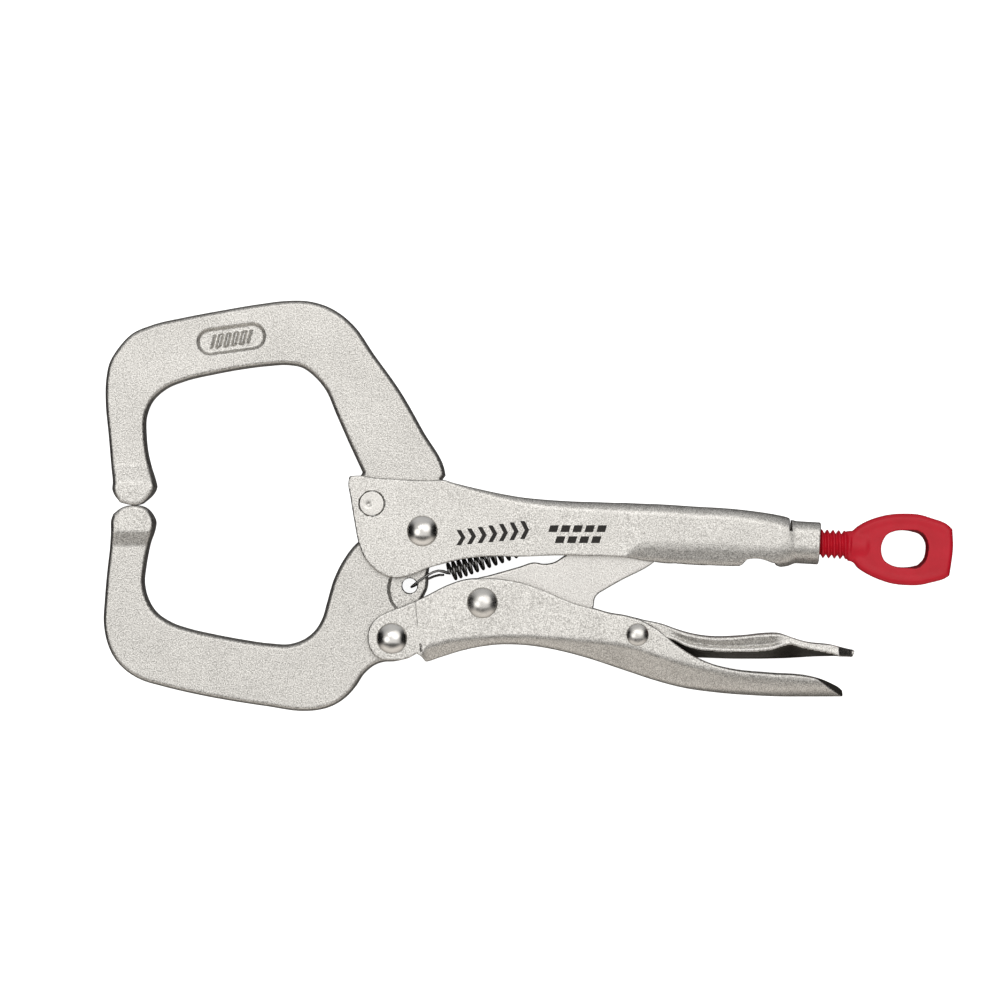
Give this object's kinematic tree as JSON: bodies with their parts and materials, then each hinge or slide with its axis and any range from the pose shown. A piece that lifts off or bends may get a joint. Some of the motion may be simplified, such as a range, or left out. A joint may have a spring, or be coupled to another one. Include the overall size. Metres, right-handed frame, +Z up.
{
  "type": "locking c clamp",
  "caption": "Locking clamp with deep C-shaped forged jaws, a sheet steel handle and gripping lever, a toggle link, a release lever and a red adjusting screw with a loop.",
  "frame": {"origin": "centre of the bounding box in X and Y, at the lowest rivet heads, which the clamp lies on", "axes": "+X from the jaws to the adjusting screw, +Y from the lower lever to the upper handle, +Z up through the thickness, along every hinge"},
  "size_m": [0.2818, 0.1364, 0.0222],
  "materials": {
    "plated_sheet": "satin nickel plate on folded sheet steel",
    "plated_forging": "satin nickel plate on a fine-grained drop forging",
    "link_steel": "satin nickel plate",
    "red_screw": "satin red coating",
    "screw_steel": "dark oxide",
    "spring_steel": "dark oiled spring wire",
    "pin_steel": "ground flush",
    "polished_rivet": "polished"
  },
  "bodies": {
    "handle_body": {"upper_handle": "plated_sheet", "upper_jaw": "plated_forging", "jaw_anchor_pin": "pin_steel", "jaw_pivot_rivet": "polished_rivet", "tension_spring": "spring_steel"},
    "lower_jaw_body": {"lower_jaw": "plated_forging"},
    "lever_body": {"lower_lever": "plated_sheet", "lever_pivot_rivet": "polished_rivet", "link_pivot_rivet": "polished_rivet", "release_pivot_rivet": "polished_rivet"},
    "link_body": {"toggle_link": "link_steel"},
    "release_body": {"release_lever": "plated_sheet"},
    "screw_travel_body": {"screw_tip": "screw_steel"},
    "screw_body": {"adjusting_screw": "red_screw"}
  },
  "joints": [
    {"name": "jaw_open", "type": "hinge", "parent": "handle_body", "child": "lower_jaw_body", "pos_m": [-0.03497, -0.00826, 0.0111], "axis": [0, 0, 1], "range_deg": [0, 18], "deforming": ["tension_spring"]},
    {"name": "lever_swing", "type": "hinge", "parent": "lower_jaw_body", "child": "lever_body", "pos_m": [-0.04503, -0.04374, 0.0111], "axis": [0, 0, 1], "range_deg": [-54, 0]},
    {"name": "link_swing", "type": "hinge", "parent": "lever_body", "child": "link_body", "pos_m": [-0.01514, -0.03199, 0.0111], "axis": [0, 0, 1], "range_deg": [0, 57.6]},
    {"name": "release_press", "type": "hinge", "parent": "lever_body", "child": "release_body", "pos_m": [0.0361, -0.04252, 0.0111], "axis": [0, 0, 1], "range_deg": [-7, 0]},
    {"name": "screw_travel", "type": "slide", "parent": "handle_body", "child": "screw_travel_body", "axis": [0.9983, -0.0576, 0], "range_m": [0, 0.019]},
    {"name": "screw_turn", "type": "hinge", "parent": "screw_travel_body", "child": "screw_body", "pos_m": [0.09164, -0.0122, 0.0111], "axis": [0.9983, -0.0576, 0], "range_deg": [0, 3601]}
  ],
  "couplings": [
    {"joint": "lever_swing", "follows": "jaw_open", "ratio": -2.988},
    {"joint": "link_swing", "follows": "jaw_open", "ratio": 3.196},
    {"joint": "screw_turn", "follows": "screw_travel", "rad_per_m": 3306.9}
  ]
}
